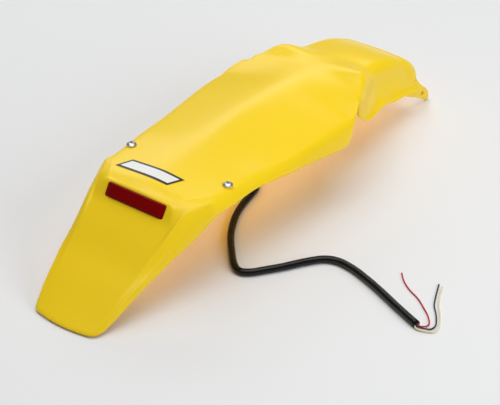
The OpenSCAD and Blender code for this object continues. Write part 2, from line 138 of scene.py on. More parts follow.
def grain(tree, shader, scale, strength, distance, detail=4.0):
    """Fine surface grain as a bump on Object coordinates; returns the coordinates."""
    place = tree.nodes.new("ShaderNodeTexCoord")
    noise = tree.nodes.new("ShaderNodeTexNoise")
    noise.inputs["Scale"].default_value = scale
    noise.inputs["Detail"].default_value = detail
    bump = tree.nodes.new("ShaderNodeBump")
    bump.inputs["Strength"].default_value = strength
    bump.inputs["Distance"].default_value = distance
    tree.links.new(place.outputs["Object"], noise.inputs["Vector"])
    tree.links.new(noise.outputs["Fac"], bump.inputs["Height"])
    tree.links.new(bump.outputs["Normal"], shader.inputs["Normal"])
    return place


sleeve, sleeve_path, sleeve_length = lay_tube("sleeve", sleeve_route, sleeve_radius, 24)
sleeve_pvc, tree, shader = plain_shader("sleeve_pvc", (0.004, 0.004, 0.004), 0.22)
shader.inputs["Specular IOR Level"].default_value = 0.3
grain(tree, shader, 70, 0.3, 0.002, 1.0)
sleeve.data.materials.append(sleeve_pvc)
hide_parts("harness_sleeve")
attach(sleeve, "root")

# Wires
# Three PVC-covered wires, 1.8 mm across, come out of the sleeve's end. They are
# cut to different lengths for the motorcycle's own connectors.
sleeve_end = sleeve_route[-1]
end_heading = (sleeve_end - sleeve_route[-2]).normalized()
end_side = end_heading.cross(Vector((0, 0, 1)))
wire_radius, exit_gap = 0.9, 0.1
wire_ground = wire_radius + floor_gap


def wire_exit(side, up):
    """The point where a wire leaves the sleeve's end, from the end's middle."""
    return sleeve_end + exit_gap * end_heading + side * end_side + Vector((0, 0, up))


# Each wire has its exit, how far it runs straight on, how far it sinks there, then its route.
wire_routes = {
    "wire_red": (wire_exit(-2, 0), 4, -1, [
        (324, -88, wire_ground + 1), (323, -80, wire_ground), (315, -70, wire_ground),
        (303, -60, wire_ground), (288, -49, wire_ground), (272, -41, wire_ground),
        (258, -31, wire_ground), (247, -19, wire_ground)]),
    "wire_black": (wire_exit(0.4, 1), 5, -1.5, [
        (330, -90, wire_ground + 1), (331, -80, wire_ground), (326, -70, wire_ground),
        (319, -60, wire_ground), (310, -49, wire_ground), (302, -33, wire_ground),
        (293, -12, wire_ground)]),
    "wire_white": (wire_exit(2.4, -1.2), 6, -1, [
        (335, -92, wire_ground + 0.5), (335.5, -81, wire_ground), (330.5, -70, wire_ground),
        (323, -58, wire_ground), (314, -46, wire_ground), (306, -31, wire_ground),
        (299, -14, wire_ground)]),
}
wire_colors = {"wire_red": (0.50, 0.012, 0.04), "wire_black": (0.02, 0.018, 0.016),
               "wire_white": (0.78, 0.70, 0.47)}
for name, (start, ahead, down, rest) in wire_routes.items():
    straight_on = start + ahead * end_heading + Vector((0, 0, down))
    route = [start, straight_on] + [Vector(p) for p in rest]
    wire, path, length = lay_tube(name.replace("wire", "lead"), route, wire_radius, 12)
    pvc, tree, shader = plain_shader(name + "_pvc", wire_colors[name], 0.38)
    grain(tree, shader, 400, 0.2, 0.0004)
    wire.data.materials.append(pvc)
    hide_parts(name)
    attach(wire, "root")

# Fender shell
# One injection moulding in mass-coloured polypropylene, 3 mm thick. It runs from the
# tail flap over the lamp wall and the crowned body with its side wings to the channel
# under the seat, which stands on two bolted feet.
length, wing_half, crest_height, wall = 664.0, 106.0, 119.0, 3.0
channel_half = 52.0

# Each line lists a share of the length, from the tail, and a value there: a share of the
# crest's height or of a half width, the crown's fall for roof_line, or millimetres for
# shoulder_round_line and rail_line. The flap's own lines run from its tail edge, 0, to its
# upper edge, 1.
crest_line = [(0.221, 0.92), (0.334, 0.937), (0.428, 0.966), (0.52, 1), (0.6, 1), (0.7, 0.975),
              (0.78, 0.93), (0.86, 0.832), (0.907, 0.733), (0.956, 0.56)]
edge_line = [(0, 0.44), (0.024, 0.455), (0.083, 0.545), (0.1265, 0.6), (0.146, 0.612),
             (0.173, 0.668), (0.2, 0.712), (0.227, 0.752), (0.2575, 0.795), (0.295, 0.818),
             (0.33, 0.829), (0.367, 0.85), (0.431, 0.896), (0.517, 0.945), (0.605, 1), (1, 1)]
crease_line = [(0, 0.33), (0.04, 0.46), (0.083, 0.52), (0.115, 0.57), (0.145, 0.59),
               (0.176, 0.605), (0.205, 0.635), (0.25, 0.665), (0.319, 0.712), (0.37, 0.742),
               (0.431, 0.805), (0.506, 0.868), (0.56, 0.9), (0.62, 0.915), (1, 0.915)]
wing_front = [(0.619, 1), (0.638, 0.962), (0.658, 0.91), (0.678, 0.85), (0.69, 0.82),
              (0.705, 0.795)]
rim_drop = [(0.22, 0.135), (0.319, 0.112), (0.367, 0.081), (0.431, 0.09), (0.47, 0.112),
            (0.52, 0.15), (0.56, 0.18), (0.605, 0.205), (0.63, 0.21), (1, 0.21)]
flap_rise = [(0, 0.031), (0.165, 0.134), (0.385, 0.286), (0.59, 0.42), (0.8, 0.592),
             (0.9, 0.667), (1, 0.745)]
flap_band = [(0, 0), (0.2, 0.05), (0.4, 0.06), (0.56, 0.06), (0.636, 0.095), (0.73, 0.1),
             (0.81, 0.135), (0.89, 0.165), (0.96, 0.15), (1, 0.125)]
roof_line = [(0.221, 0.05), (0.319, 0.12), (0.37, 0.142), (0.431, 0.217), (0.506, 0.25),
             (0.6, 0.24), (0.638, 0.25), (0.678, 0.165), (0.696, 0.126), (0.721, 0.075),
             (0.735, -0.024), (0.7515, -0.095), (0.771, -0.024), (0.79, 0.147), (0.81, 0.13),
             (0.85, 0.06), (1, 0.05)]
shoulder_line = [(0.703, 1.63), (0.72, 1.54), (0.735, 1.452), (0.7515, 1.375), (0.771, 1.28),
                 (0.79, 1.17), (0.815, 1.10), (0.87, 1.085), (0.96, 1.09)]
shoulder_round_line = [(0.703, 9), (0.72, 13), (0.7515, 16), (0.771, 17), (0.79, 18),
                       (0.82, 19), (0.96, 20)]
rail_drop = [(0.703, 0.64), (0.72, 0.56), (0.7353, 0.5), (0.751, 0.494), (0.7827, 0.488),
             (0.81, 0.486), (0.822, 0.468), (0.8494, 0.396), (0.8657, 0.396), (0.9056, 0.337),
             (0.96, 0.262)]
rail_line = [(0.703, 24), (0.7353, 23.5), (0.7827, 19), (0.817, 16), (0.8494, 14.5),
             (0.9056, 12), (0.96, 9.5)]

# Stations in millimetres from the tail, and the lamp wall's half height and lip height.
ridge = 0.221 * length
channel_start, channel_end = 0.703 * length, 0.957 * length
wall_half = 10.2
foot_station = lamp_station - wall_half * math.sin(lamp_tilt)
lip_station = lamp_station + wall_half * math.sin(lamp_tilt)
lip_height = lamp_height + wall_half * math.cos(lamp_tilt)

# Body: the crown's rounding, the rim's curve, the ridge's sweep forward at its sides, and
# how the columns draw together before the channel.
roof_round, rim_power = 12, 1.6
ridge_sweep, sweep_fade, sweep_power = 38, 90, 1.5
crease_column, sweep_start, sweep_end = 0.7, 0.615, 0.84
gather_from, gather_run, gather_side = 0.61, 0.08, 0.87
# Flap: its rounded tail, and the step up to the body.
tail_arc, tail_bow, corner_round, band_power = 14, 0.6, 13, 2
side_step, step_from, step_run = 4.8, 0.66, 0.2
seam_gap, seam_spread, spread_from, spread_run, seam_fall = 3.5, 9, 0.78, 0.17, 0.25
lift_from, lift_run = 0.6, 0.4
# Lamp wall and the lip above the lens.
lens_width, lens_height, lens_clearance = 84, 17, 0.3
wall_flat, wall_blend = lens_width / 2 + 17, 4.5
lip_roll, lip_run, side_lip, side_lip_run = 2.2, 13, 0.35, 0.4
# Channel: its shoulder arc, the bend of its wall, its rail and its collar.
arc_from, arc_to, rail_from, rail_out, rail_lip = 0.56, 0.74, 0.95, 6, 3.5
wall_bend, bend_loss, bend_run = 3.4, 1.8, 0.09
collar_length, collar_rise, collar_ramp = 20, 1.8, 3


def clamp01(t):
    return min(1.0, max(0.0, t))


def smooth01(t):
    c = clamp01(t)
    return c * c * (3 - 2 * c)


def along(line, s):
    """The value of a line at s, on a smooth curve through its points."""
    i = 0
    while i < len(line) - 2 and s >= line[i + 1][0]:
        i += 1

    def slope(k):
        a, b = max(k - 1, 0), min(k + 1, len(line) - 1)
        return (line[b][1] - line[a][1]) / (line[b][0] - line[a][0])
    h = line[i + 1][0] - line[i][0]
    t = clamp01((s - line[i][0]) / h)
    return (line[i][1] * (2 * t ** 3 - 3 * t ** 2 + 1) + slope(i) * h * (t ** 3 - 2 * t ** 2 + t)
            + line[i + 1][1] * (3 * t ** 2 - 2 * t ** 3) + slope(i + 1) * h * (t ** 3 - t ** 2))


def crest(s):
    return crest_height * along(crest_line, s / length)


def crease(s):
    return wing_half * along(crease_line, s / length)


def edge(s):
    return wing_half * along(edge_line, s / length)


def wing_edge(s):
    """Half the width at the wings, which end in a slant at the front."""
    if s <= wing_front[0][0] * length:
        return edge(s)
    return wing_half * along(wing_front, s / length)


def roof(s, x):
    """How far the crown has fallen at a distance x from the middle."""
    return along(roof_line, s / length) * (math.hypot(x, roof_round) - roof_round)


def body_z(s, x):
    u = max(0.0, abs(x) - crease(s)) / (edge(s) - crease(s))
    return crest(s) - roof(s, x) - crest_height * along(rim_drop, s / length) * u ** rim_power


def sideways(v, c, w):
    """The distance from the middle of column v, with the crease at c and the edge at w."""
    a = abs(v)
    return math.copysign(1, v) * (c * a / crease_column if a <= crease_column
                                  else c + (w - c) * (a - crease_column) / (1 - crease_column))


def swept(v):
    return clamp01((abs(v) - sweep_start) / (sweep_end - sweep_start))


def recess(v):
    """1 across the flat lamp wall, 0 beside it."""
    return 1 - smooth01((abs(v) * crease(ridge) / crease_column - wall_flat) / wall_blend)


def gathered(v):
    """Columns drawn together towards the edge, for the notch before the channel."""
    a = abs(v)
    return math.copysign(gather_side * a / arc_from if a <= arc_from
                         else gather_side + (1 - gather_side) * (a - arc_from) / (1 - arc_from), v)


def body_point(s0, v):
    sweep = ridge_sweep * max(0.0, 1 - (s0 - ridge) / sweep_fade) ** sweep_power
    s = s0 + sweep * swept(v)
    gather = smooth01((s0 / length - gather_from) / gather_run)
    half = wing_edge(s0 + sweep)
    spread = sideways(v, min(crease(s), wing_edge(s) * crease_column), half)
    x = spread + (half * gathered(v) - spread) * gather
    roll = lip_roll * recess(v) * max(0.0, 1 - (s0 - ridge) / lip_run) ** 2
    return (x, s, body_z(s, x) - roll)


def flap_z(t, v):
    u = max(0.0, abs(v) - crease_column) / (1 - crease_column)
    return crest_height * (along(flap_rise, t) - along(flap_band, t) * u ** band_power)


def flap_point(t, v):
    u = max(0.0, abs(v) - crease_column) / (1 - crease_column)
    corner = tail_arc * v * v * tail_bow + corner_round * (1 - math.sqrt(1 - u * u))
    gap = seam_gap + seam_spread * smooth01((abs(v) - spread_from) / spread_run)
    base = ridge + ridge_sweep * swept(v) - gap - (ridge - foot_station - gap) * recess(v)
    s = corner * (1 - t) ** 3 + foot_station * t + (base - foot_station) * t ** 3
    s_edge = (tail_arc * (1 - t) ** 3 + foot_station * t
              + (ridge + ridge_sweep - gap - foot_station) * t ** 3)
    join = (body_point(ridge, v)[2]
            - side_step * (1 - smooth01((abs(v) - step_from) / step_run))
            - seam_fall * (gap - seam_gap))
    lift = (join - flap_z(1, v)) * smooth01((t - lift_from) / lift_run) * (1 - recess(v))
    return (sideways(v, crease(s), edge(s_edge)), s, flap_z(t, v) + lift)


def lip_point(f, v):
    """Between the top of the lamp wall or flap, f 0, and the body's first row, f 1."""
    top, low, r = Vector(body_point(ridge, v)), Vector(flap_point(1, v)), recess(v)
    middle = Vector((top[0], lip_station, lip_height))
    side = low + (top - low) * (side_lip + side_lip_run * f)
    return tuple(side + (middle + (top - middle) * f - side) * r)


def collar(s):
    return collar_rise * smooth01((s - channel_end + collar_length) / collar_ramp)


def top_z(s, x):
    return crest(s) - roof(s, x) + collar(s)


def shoulder(s):
    return channel_half * along(shoulder_line, s / length) + collar(s)


def rail_z(s):
    return crest_height * along(rail_drop, s / length)


def channel_point(s, v):
    """Roof, round shoulder, side wall and rail, from the middle outwards."""
    a, side, r = abs(v), shoulder(s), along(shoulder_round_line, s / length)
    start, base = side - r, channel_half + along(rail_line, s / length)
    arc = math.radians(90 * clamp01((a - arc_from) / (arc_to - arc_from)))
    f = clamp01((a - arc_to) / (rail_from - arc_to))
    g = clamp01((a - rail_from) / (1 - rail_from))
    bend = wall_bend - bend_loss * smooth01((s / length - channel_line_start) / bend_run)
    x = (start * min(1, a / arc_from) + r * math.sin(arc) + (base - side) * f ** bend
         + rail_out * g)
    knee = top_z(s, start) - r
    z = (top_z(s, x) if a <= arc_from
         else knee + r * math.cos(arc) - (knee - rail_z(s) - rail_lip) * f - rail_lip * g)
    return (math.copysign(x, v), s, z)


def notch_point(t, v):
    """Between the body's last row and the channel's first."""
    last, first = body_point(wing_end, v), channel_point(channel_start, v)
    return tuple(Vector(last).lerp(Vector(first), t))


channel_line_start = shoulder_line[0][0]
half_columns = [0, 0.14, 0.27, 0.39, 0.49, 0.56, 0.60, 0.62, 0.645, 0.67, 0.70, 0.74, 0.79,
                0.85, 0.90, 0.95, 1]
columns = [-v for v in reversed(half_columns[1:])] + half_columns
flap_rows = [0, 0.05, 0.12, 0.2, 0.3, 0.4, 0.47, 0.5, 0.53, 0.56, 0.6, 0.66, 0.73, 0.8, 0.87,
             0.94, 1]
lip_rows = [0, 0.55]
body_rows = [0, 0.008, 0.02, 0.034, 0.052, 0.074, 0.098, 0.125, 0.155, 0.188, 0.224, 0.26,
             0.299, 0.337, 0.37, 0.398, 0.412, 0.425, 0.441, 0.455, 0.469]
notch_rows = [0.5]
channel_rows = [0, 0.05, 0.10, 0.15, 0.21, 0.27, 0.33, 0.39, 0.46, 0.53, 0.60, 0.67, 0.74,
                0.81, 0.88, 0.891, 0.902, 0.95, 1]
wing_end = ridge + body_rows[-1] * length
channel_run = channel_end - channel_start
grid = ([[flap_point(t, v) for v in columns] for t in flap_rows]
        + [[lip_point(f, v) for v in columns] for f in lip_rows]
        + [[body_point(ridge + b * length, v) for v in columns] for b in body_rows]
        + [[notch_point(t, v) for v in columns] for t in notch_rows]
        + [[channel_point(channel_start + channel_run * r, v) for v in columns]
           for r in channel_rows])

# The sheet's inner side lies one wall below its outer side.
outer = np.array(grid)
down_rows = np.empty_like(outer)
down_rows[1:-1] = outer[2:] - outer[:-2]
down_rows[0], down_rows[-1] = outer[1] - outer[0], outer[-1] - outer[-2]
across = np.empty_like(outer)
across[:, 1:-1] = outer[:, 2:] - outer[:, :-2]
across[:, 0], across[:, -1] = outer[:, 1] - outer[:, 0], outer[:, -1] - outer[:, -2]
normal = np.cross(across, down_rows)
normal /= np.linalg.norm(normal, axis=2, keepdims=True)
inner = outer - wall * normal
inner[..., 2] = np.maximum(inner[..., 2], 0)
rows, cols = outer.shape[:2]
count = rows * cols
points = np.concatenate([outer.reshape(-1, 3), inner.reshape(-1, 3)]) - (0, half_length, 0)
faces = []
for i in range(rows - 1):
    for j in range(cols - 1):
        a = i * cols + j
        faces.append((a, a + 1, a + cols + 1, a + cols))
        faces.append((a + count, a + cols + count, a + cols + 1 + count, a + 1 + count))
rim = (list(range(cols)) + [i * cols + cols - 1 for i in range(1, rows)]
       + [(rows - 1) * cols + j for j in range(cols - 2, -1, -1)]
       + [i * cols for i in range(rows - 2, 0, -1)])
for a, b in zip(rim, rim[1:] + rim[:1]):
    faces.append((a, a + count, b + count, b))
shell_mesh = bpy.data.meshes.new("fender_shell")
shell_mesh.from_pydata([tuple(p) for p in points * MM], [], faces)
shell_mesh.validate()
shell = bpy.data.objects.new("fender_shell", shell_mesh)
bpy.context.scene.collection.objects.link(shell)


def bake_modifiers(obj):
    """Turns the object's modifiers into plain mesh."""
    graph = bpy.context.evaluated_depsgraph_get()
    mesh = bpy.data.meshes.new_from_object(obj.evaluated_get(graph))
    obj.modifiers.clear()
    obj.data = mesh


def solid_from(name, bm):
    """A new object from a closed form, with its faces turned outwards."""
    mesh = bpy.data.meshes.new(name)
    bmesh.ops.recalc_face_normals(bm, faces=bm.faces)
    bm.to_mesh(mesh)
    bm.free()
    obj = bpy.data.objects.new(name, mesh)
    bpy.context.scene.collection.objects.link(obj)
    return obj


def lamp_frame(p):
    """A point of the tilted lamp, in millimetres, as a point of the object, in metres.

    Its x runs across the lens, y from the wall's face into the lamp, z up along the wall.
    """
    x, y, z = p
    return Vector((
        x, lamp_station - half_length + y * math.cos(lamp_tilt) + z * math.sin(lamp_tilt),
        lamp_height - y * math.sin(lamp_tilt) + z * math.cos(lamp_tilt))) * MM


def rounded_outline(w, h, r, steps=6):
    """A rectangle with round corners, as points in order."""
    out = []
    for cx, cz, start in ((w / 2 - r, h / 2 - r, 0), (r - w / 2, h / 2 - r, 90),
                          (r - w / 2, r - h / 2, 180), (w / 2 - r, r - h / 2, 270)):
        for k in range(steps + 1):
            turn = math.radians(start + 90 * k / steps)
            out.append((cx + r * math.cos(turn), cz + r * math.sin(turn)))
    return out


def add_prism(bm, rings):
    """Closed solid through rings of equally many points."""
    loops = [[bm.verts.new(p) for p in ring] for ring in rings]
    n = len(loops[0])
    for a, b in zip(loops, loops[1:]):
        for k in range(n):
            bm.faces.new((a[k], a[(k + 1) % n], b[(k + 1) % n], b[k]))
    bm.faces.new(reversed(loops[0]))
    bm.faces.new(loops[-1])


def lathe_rings(place, profile, sides=48):
    """Rings of a turned form. The profile lists a radius and a distance along the axis."""
    turns = [2 * math.pi * k / sides for k in range(sides)]
    return [[place(r * math.cos(w), r * math.sin(w), d) for w in turns] for r, d in profile]


rounding = shell.modifiers.new("round", "SUBSURF")
rounding.levels = rounding.render_levels = 2
bake_modifiers(shell)

# Bosses for the two top screws stand below the body; each has a spot-faced seat.
screw_station, screw_x, hole_r, seat_rise = 0.323 * length, 71, 3.3, 0.2
seat_height = body_z(screw_station, screw_x) + seat_rise
boss_r, boss_depth, boss_chamfer, seat_clear = 6.8, 10, 0.6, 8
# A foot plate on each side carries the channel's wall down to the ground. Each outline
# point is a distance behind the front tip, then a height.
foot_side, foot_thick, foot_boss, foot_boss_r, foot_edge = 57.5, 3.5, 6, 7.3, 1.1
foot_hole_station, foot_hole_z = length - 17, 16.5
foot_outline = [(76, 41), (47, 25), (27, 14.5), (14, 6.5), (8, 1.5), (5, 0), (1.5, 0), (0, 3),
                (0.5, 9), (3, 15), (8, 21), (15, 26.5), (24, 35), (31, 44), (50, 47), (74, 46)]


def on_screw(side):
    """Places a point about a top screw's axis; its third number is the height over the seat."""
    return lambda x, y, d: Vector((side * screw_x + x, screw_station - half_length + y,
                                   seat_height + d)) * MM


def on_foot(side):
    """Places a point about a foot's hole; its third number is the distance outwards."""
    return lambda y, z, d: Vector((side * (foot_side + d), foot_hole_station - half_length + y,
                                   foot_hole_z + z)) * MM


plates, bosses, cuts = bmesh.new(), bmesh.new(), bmesh.new()
for side in (-1, 1):
    add_prism(plates, [[Vector((side * (foot_side + d), half_length - back, z)) * MM
                        for back, z in foot_outline] for d in (0, foot_thick)])
    add_prism(bosses, lathe_rings(on_screw(side), [
        (boss_r - boss_chamfer, -boss_depth), (boss_r, -boss_depth + boss_chamfer), (boss_r, 0)]))
    foot_inner = foot_thick - foot_boss
    add_prism(bosses, lathe_rings(on_foot(side), [
        (foot_boss_r - boss_chamfer, foot_inner), (foot_boss_r, foot_inner + boss_chamfer),
        (foot_boss_r, 2)]))
    add_prism(cuts, lathe_rings(on_screw(side), [
        (hole_r, -boss_depth - 1), (hole_r, 0), (boss_r, 0), (boss_r, seat_clear)]))
    add_prism(cuts, lathe_rings(on_foot(side), [(hole_r, -6), (hole_r, 12)]))
window = rounded_outline(lens_width + 2 * lens_clearance, lens_height + 2 * lens_clearance, 3)
add_prism(cuts, [[lamp_frame((x, y, z)) for x, z in window] for y in (-4, wall + 2)])
plates, bosses, cuts = (solid_from(name, bm) for name, bm in
                        (("plates", plates), ("bosses", bosses), ("cuts", cuts)))
edges = plates.modifiers.new("edges", "BEVEL")
edges.width, edges.segments, edges.angle_limit = foot_edge * MM, 3, math.radians(50)
bake_modifiers(plates)
for operand, kind in ((plates, "UNION"), (bosses, "UNION"), (cuts, "DIFFERENCE")):
    step = shell.modifiers.new(kind, "BOOLEAN")
    step.operation, step.object, step.solver = kind, operand, "EXACT"
    bake_modifiers(shell)
    bpy.data.objects.remove(operand)


def soften(obj, degrees):
    """Smooth shading with sharp edges kept above an angle."""
    for polygon in obj.data.polygons:
        polygon.use_smooth = True
    obj.data.set_sharp_from_angle(angle=math.radians(degrees))


def mottle(tree, shader, place, scale, low, high, rough_low, rough_high):
    """Slow change of colour and gloss over the surface, from one noise."""
    noise = tree.nodes.new("ShaderNodeTexNoise")
    noise.inputs["Scale"].default_value = scale
    noise.inputs["Detail"].default_value = 3
    tint = tree.nodes.new("ShaderNodeMix")
    tint.data_type = "RGBA"
    tint.inputs[6].default_value, tint.inputs[7].default_value = (*low, 1), (*high, 1)
    gloss = tree.nodes.new("ShaderNodeMapRange")
    gloss.inputs["To Min"].default_value = rough_low
    gloss.inputs["To Max"].default_value = rough_high
    tree.links.new(place.outputs["Object"], noise.inputs["Vector"])
    tree.links.new(noise.outputs["Fac"], tint.inputs[0])
    tree.links.new(tint.outputs[2], shader.inputs["Base Color"])
    tree.links.new(noise.outputs["Fac"], gloss.inputs["Value"])
    tree.links.new(gloss.outputs["Result"], shader.inputs["Roughness"])


soften(shell, 40)
fender_plastic, tree, shader = plain_shader("fender_plastic", (0.90, 0.62, 0.016), 0.36)
place = grain(tree, shader, 900, 0.08, 0.0002)
mottle(tree, shader, place, 9, (0.925, 0.640, 0.007), (0.955, 0.670, 0.010), 0.27, 0.36)
shader.inputs["Specular IOR Level"].default_value = 0.34
shader.inputs["Subsurface Weight"].default_value = 0.15
shader.inputs["Subsurface Radius"].default_value = (1.0, 0.45, 0.05)
shader.inputs["Subsurface Scale"].default_value = 0.004
shell.data.materials.clear()
shell.data.materials.append(fender_plastic)
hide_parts("fender_body")
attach(shell, "root")

# Lens
# A dark red acrylic lens. It drops into the window of the lamp wall from behind, up to
# its flange, and stands a little proud of the wall, with chamfered ends.
# Each step adds to the lens's width and height, at a depth behind the wall's face.
lens_steps = [(-6, -6, 2.2), (-6, -6, 7.15), (5.5, 3, 7.15), (5.5, 3, 5.15), (0, 0, 5.15),
              (0, 0, -0.1), (-0.4, -0.3, -0.7), (-10.5, -1.5, -2.2), (-12.0, -2.2, -2.45),
              (-15, -4, -2.6)]
lens_corner = 2.5
lens_form = bmesh.new()
add_prism(lens_form, [[lamp_frame((x, y, z)) for x, z in
                       rounded_outline(lens_width + dw, lens_height + dh, lens_corner, 8)]
                      for dw, dh, y in lens_steps])
lens_block = solid_from("lens_block", lens_form)
soften(lens_block, 25)
lens_red, tree, shader = plain_shader("lens_red", (0.16, 0.001, 0.001), 0.10)
shader.inputs["IOR"].default_value = 1.49
shader.inputs["Specular IOR Level"].default_value = 0.10
place = tree.nodes.new("ShaderNodeTexCoord")
flutes = tree.nodes.new("ShaderNodeTexWave")
flutes.inputs["Scale"].default_value = 125
flutes.inputs["Distortion"].default_value = 0.2
bump = tree.nodes.new("ShaderNodeBump")
bump.inputs["Strength"].default_value = 0.10
bump.inputs["Distance"].default_value = 0.0006
tree.links.new(place.outputs["Object"], flutes.inputs["Vector"])
tree.links.new(flutes.outputs["Fac"], bump.inputs["Height"])
tree.links.new(bump.outputs["Normal"], shader.inputs["Normal"])
mottle(tree, shader, place, 40, (0.200, 0.0003, 0.0003), (0.235, 0.0006, 0.0006), 0.12, 0.20)
lens_block.data.materials.append(lens_red)
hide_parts("lens")
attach(lens_block, "root")

# Gasket, light board and emitters
# A foam gasket seals the lens to the wall. Behind it, inside the housing, a green
# laminate board carries a row of eight light emitters with domed clear bodies.
gasket_foam, tree, shader = plain_shader("gasket_foam", (0.045, 0.045, 0.05), 0.9)
place = grain(tree, shader, 1500, 0.8, 0.0004)
mottle(tree, shader, place, 300, (0.030, 0.030, 0.034), (0.060, 0.060, 0.066), 0.8, 0.95)
board_laminate, tree, shader = plain_shader("board_laminate", (0.02, 0.10, 0.04), 0.4)
place = grain(tree, shader, 700, 0.2, 0.0002)
mottle(tree, shader, place, 120, (0.012, 0.075, 0.028), (0.030, 0.125, 0.050), 0.30, 0.50)
for node, material in (("lens_gasket", gasket_foam), ("light_board", board_laminate)):
    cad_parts[node].data.materials.clear()
    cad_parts[node].data.materials.append(material)


def row_of(obj, count, start, step, finish):
    """Repeats a piece in a straight row with Geometry Nodes and keeps the plain mesh."""
    group = bpy.data.node_groups.new(obj.name + "_row", "GeometryNodeTree")
    sockets = {"Piece": "Geometry", "Count": "Int", "Start": "Vector", "Step": "Vector",
               "Finish": "Material"}
    for label, kind in sockets.items():
        group.interface.new_socket(name=label, in_out="INPUT", socket_type="NodeSocket" + kind)
    group.interface.new_socket(name="Row", in_out="OUTPUT", socket_type="NodeSocketGeometry")
    given, row = group.nodes.new("NodeGroupInput"), group.nodes.new("NodeGroupOutput")
    line = group.nodes.new("GeometryNodeMeshLine")
    line.mode = "OFFSET"
    spread = group.nodes.new("GeometryNodeInstanceOnPoints")
    plain = group.nodes.new("GeometryNodeRealizeInstances")
    paint = group.nodes.new("GeometryNodeSetMaterial")
    for a, b in ((given.outputs["Count"], line.inputs["Count"]),
                 (given.outputs["Start"], line.inputs["Start Location"]),
                 (given.outputs["Step"], line.inputs["Offset"]),
                 (line.outputs["Mesh"], spread.inputs["Points"]),
                 (given.outputs["Piece"], spread.inputs["Instance"]),
                 (spread.outputs["Instances"], plain.inputs["Geometry"]),
                 (plain.outputs["Geometry"], paint.inputs["Geometry"]),
                 (given.outputs["Finish"], paint.inputs["Material"]),
                 (paint.outputs["Geometry"], row.inputs["Row"])):
        group.links.new(a, b)
    modifier = obj.modifiers.new("row", "NODES")
    modifier.node_group = group
    values = {"Count": count, "Start": start, "Step": step, "Finish": finish}
    for item in group.interface.items_tree:
        if item.in_out == "INPUT" and item.name in values:
            modifier[item.identifier] = values[item.name]
    bake_modifiers(obj)


def turned(name, place, profile, sides=48):
    """A turned piece with closed ends."""
    bm = bmesh.new()
    add_prism(bm, lathe_rings(place, profile, sides))
    return solid_from(name, bm)


board_depth, emitter_count, emitter_r = 22.71, 8, 2.5
emitter_pitch = lens_width / (emitter_count + 0.5)
emitter_tip, emitter_foot = board_depth - 5.1, board_depth - 0.1
row_start = -(emitter_count - 1) / 2 * emitter_pitch
emitters = turned("emitters", lambda x, y, d: lamp_frame((x, d, y)),
                  [(0.4, emitter_tip), (1.3, emitter_tip + 0.25), (2.0, emitter_tip + 0.9),
                   (2.3, emitter_tip + 1.8), (2.3, emitter_foot - 1.1),
                   (emitter_r, emitter_foot - 1.0), (emitter_r, emitter_foot)], 24)
emitter_resin, tree, shader = plain_shader("emitter_resin", (0.85, 0.82, 0.72), 0.12)
place = grain(tree, shader, 900, 0.1, 0.0001)
mottle(tree, shader, place, 200, (0.82, 0.78, 0.66), (0.88, 0.86, 0.78), 0.08, 0.18)
row_of(emitters, emitter_count, (row_start * MM, 0, 0), (emitter_pitch * MM, 0, 0),
       emitter_resin)
soften(emitters, 35)
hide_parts("light_emitters")
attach(emitters, "root")

# Lamp housing and grommet
# The housing is a black moulded tray behind the lamp wall. Two arms reach up to the top
# screws, and a rubber grommet closes the hole where the harness leaves its back.


def rounded_copy(node, name, width):
    """A copy of a CAD solid with its doubles merged and its sharp edges rounded."""
    bm = bmesh.new()
    bm.from_mesh(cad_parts[node].data)
    bmesh.ops.remove_doubles(bm, verts=bm.verts, dist=0.00001)
    bmesh.ops.dissolve_limit(bm, angle_limit=math.radians(2), verts=bm.verts, edges=bm.edges)
    mesh = bpy.data.meshes.new(name)
    bm.to_mesh(mesh)
    bm.free()
    obj = bpy.data.objects.new(name, mesh)
    bpy.context.scene.collection.objects.link(obj)
    edge_round = obj.modifiers.new("edges", "BEVEL")
    edge_round.width, edge_round.segments = width, 2
    edge_round.angle_limit = math.radians(35)
    bake_modifiers(obj)
    soften(obj, 40)
    return obj


tray = rounded_copy("lamp_housing", "lamp_tray", 0.0005)
housing_plastic, tree, shader = plain_shader("housing_plastic", (0.018, 0.018, 0.02), 0.45)
place = grain(tree, shader, 1200, 0.35, 0.0003)
mottle(tree, shader, place, 60, (0.014, 0.014, 0.015), (0.024, 0.024, 0.026), 0.38, 0.55)
tray.data.materials.clear()
tray.data.materials.append(housing_plastic)
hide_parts("lamp_housing")
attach(tray, "root")

gland_r, gland_bore, gland_sides = sleeve_radius + 2.5, sleeve_radius - 1, 48
grommet = turned("grommet", lambda x, y, d: lamp_frame((gland[0] + x, housing_back + d, y)), [
    (gland_bore, 5.2), (gland_bore, -4.4), (gland_r - 0.6, -4.4), (gland_r - 0.2, -4.0),
    (gland_r - 0.2, 0.2), (gland_r + 2.1, 0.2), (gland_r + 2.4, 0.6), (gland_r + 2.2, 1.3),
    (gland_r + 0.9, 1.5), (gland_r + 0.9, 2.1), (gland_r + 1.4, 2.4), (gland_r + 1.0, 3.2),
    (gland_r + 0.2, 3.4), (gland_r + 0.2, 3.9), (gland_r + 0.4, 4.3), (gland_r - 0.2, 5.2)],
    gland_sides)
